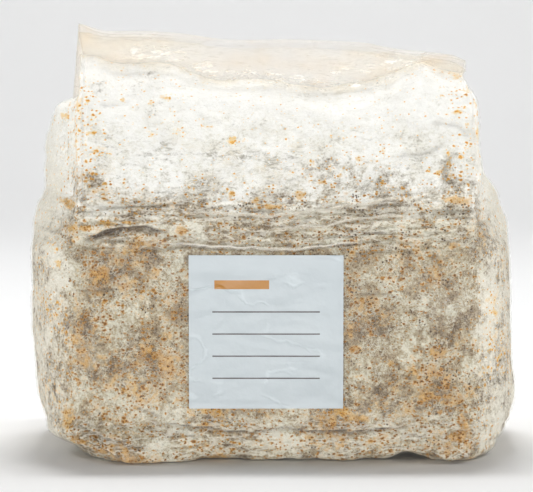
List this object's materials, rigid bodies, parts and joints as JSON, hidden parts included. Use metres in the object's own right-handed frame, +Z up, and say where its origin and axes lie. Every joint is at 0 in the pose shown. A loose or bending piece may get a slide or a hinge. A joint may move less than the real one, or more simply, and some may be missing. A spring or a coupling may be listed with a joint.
{
  "type": "mushroom grow bag",
  "caption": "Free-standing block of mycelium-grown sawdust in a clear gusseted film bag, its empty top folded over behind, with a breather patch and a blank square label",
  "frame": {"origin": "The middle of the flat base on which the bag stands, at floor level", "axes": "+X runs along the bag's width, to the right seen from the front; +Y runs from the labelled front to the back; +Z is up"},
  "size_m": [0.2482, 0.137, 0.2153],
  "materials": {
    "substrate": "matte",
    "film": "gloss",
    "filter": "matte",
    "sticker": "satin"
  },
  "bodies": {
    "root": {"substrate_block": "substrate", "grow_bag": "film", "filter_patch": "filter", "label": "sticker"}
  },
  "joints": []
}
